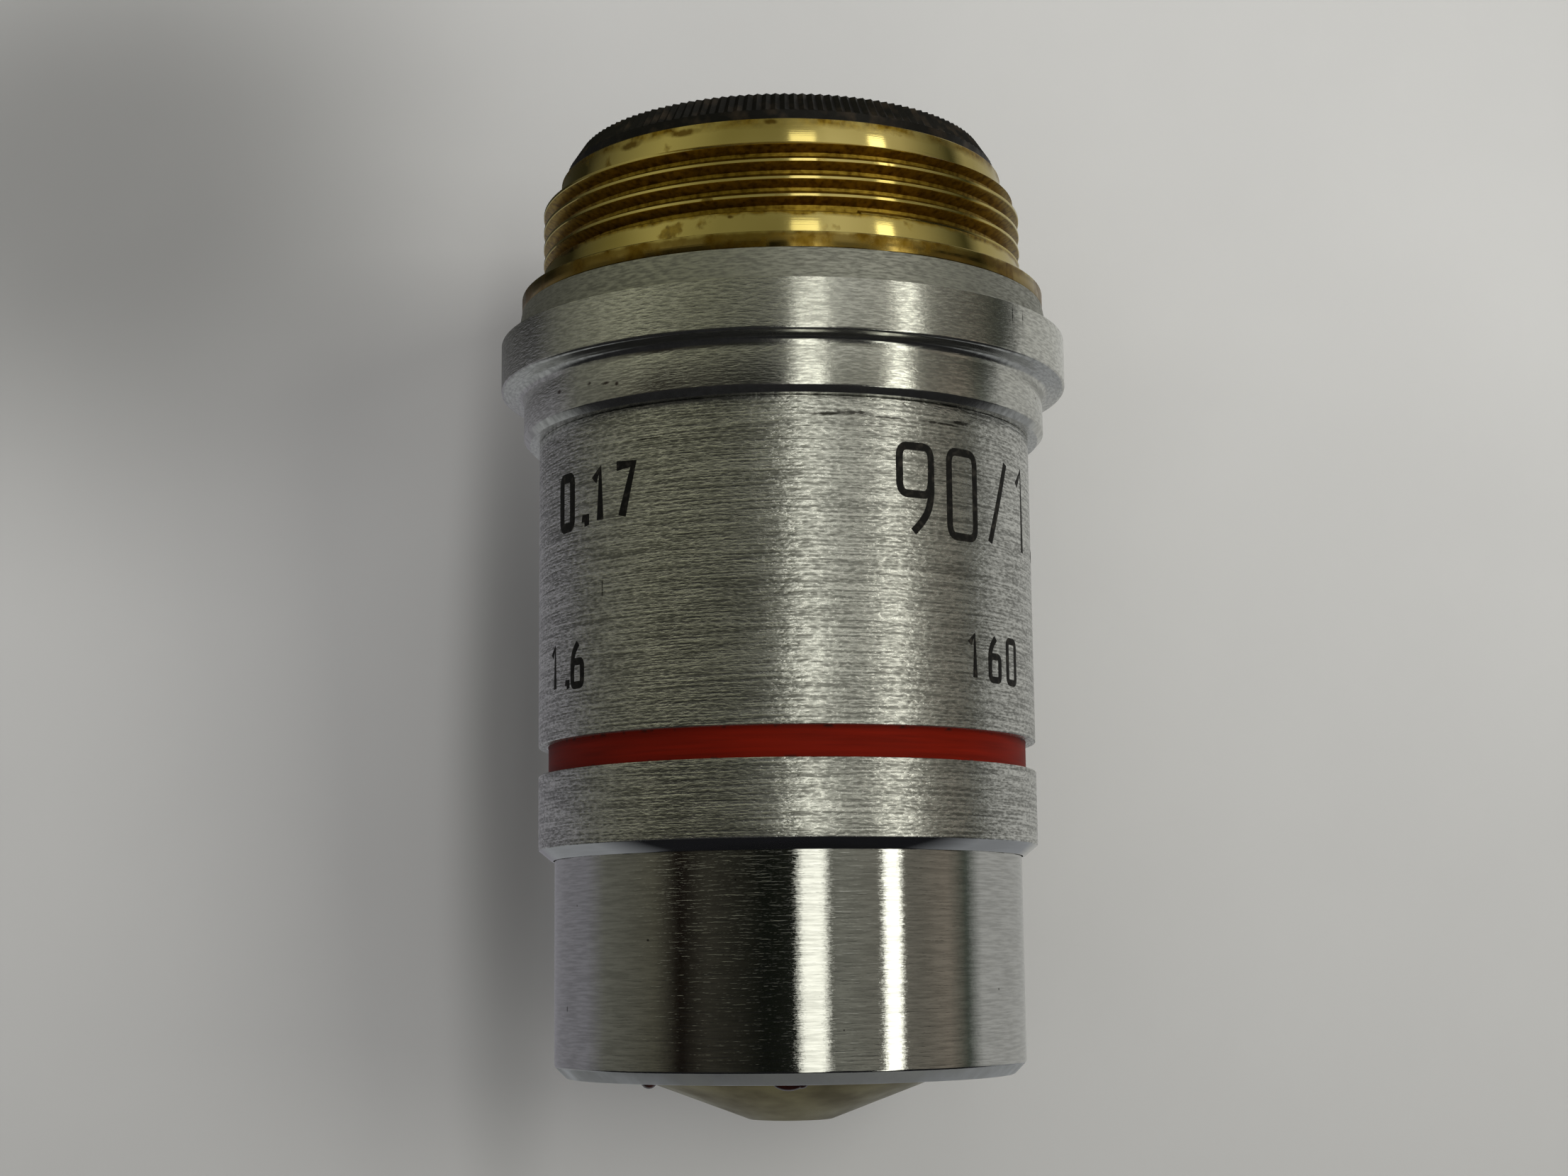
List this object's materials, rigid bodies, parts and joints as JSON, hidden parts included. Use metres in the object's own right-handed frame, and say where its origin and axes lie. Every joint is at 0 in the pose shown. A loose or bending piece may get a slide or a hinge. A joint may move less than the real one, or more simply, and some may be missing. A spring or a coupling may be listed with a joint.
{
  "type": "microscope objective",
  "caption": "Oil-immersion microscope objective: stepped turned barrel with a brass mounting thread, a red band and a spring-loaded nose that ends in a small front lens.",
  "frame": {"origin": "centre of the seat, the rear face of the brass flange that meets the nosepiece", "axes": "+Z along the optical axis towards the front lens, so the part stands on its rear ring; -Y is the side that the picture shows"},
  "size_m": [0.0237, 0.0236, 0.0402],
  "materials": {
    "black_oxide": "satin",
    "bare_brass": "turned, tarnished",
    "bright_chrome": "fine turned",
    "satin_chrome": "satin turned",
    "red_enamel": "satin",
    "spring_steel": "bright drawn wire",
    "dull_nickel": "dull plated",
    "inner_brass": "turned",
    "black_inside": "matte black",
    "optical_glass": "polished"
  },
  "bodies": {
    "body": {"rear_ring": "black_oxide", "thread_mount": "bare_brass", "shoulder_ring": "bright_chrome", "barrel_sleeve": "satin_chrome", "colour_band": "red_enamel", "return_spring": "spring_steel", "guide_screw": "spring_steel"},
    "nose": {"lens_tube": "inner_brass", "nose_sleeve": "bright_chrome", "front_cell": "dull_nickel", "front_lens": "optical_glass", "meniscus_cell": "black_inside", "meniscus_lens": "optical_glass", "middle_cell": "inner_brass", "middle_crown": "optical_glass", "middle_flint": "optical_glass", "middle_retainer": "black_inside", "spacer_ring": "black_inside", "rear_cell": "inner_brass", "rear_crown": "optical_glass", "rear_flint": "optical_glass", "rear_retainer": "black_inside", "aperture_stop": "black_inside", "stop_retainer": "black_inside"}
  },
  "joints": [
    {"name": "nose_slide", "type": "slide", "parent": "body", "child": "nose", "axis": [0, 0, -1], "range_m": [0, 0.0025], "stiffness_N_per_m": 500, "springref_m": -0.004, "deforming": ["return_spring"]}
  ]
}
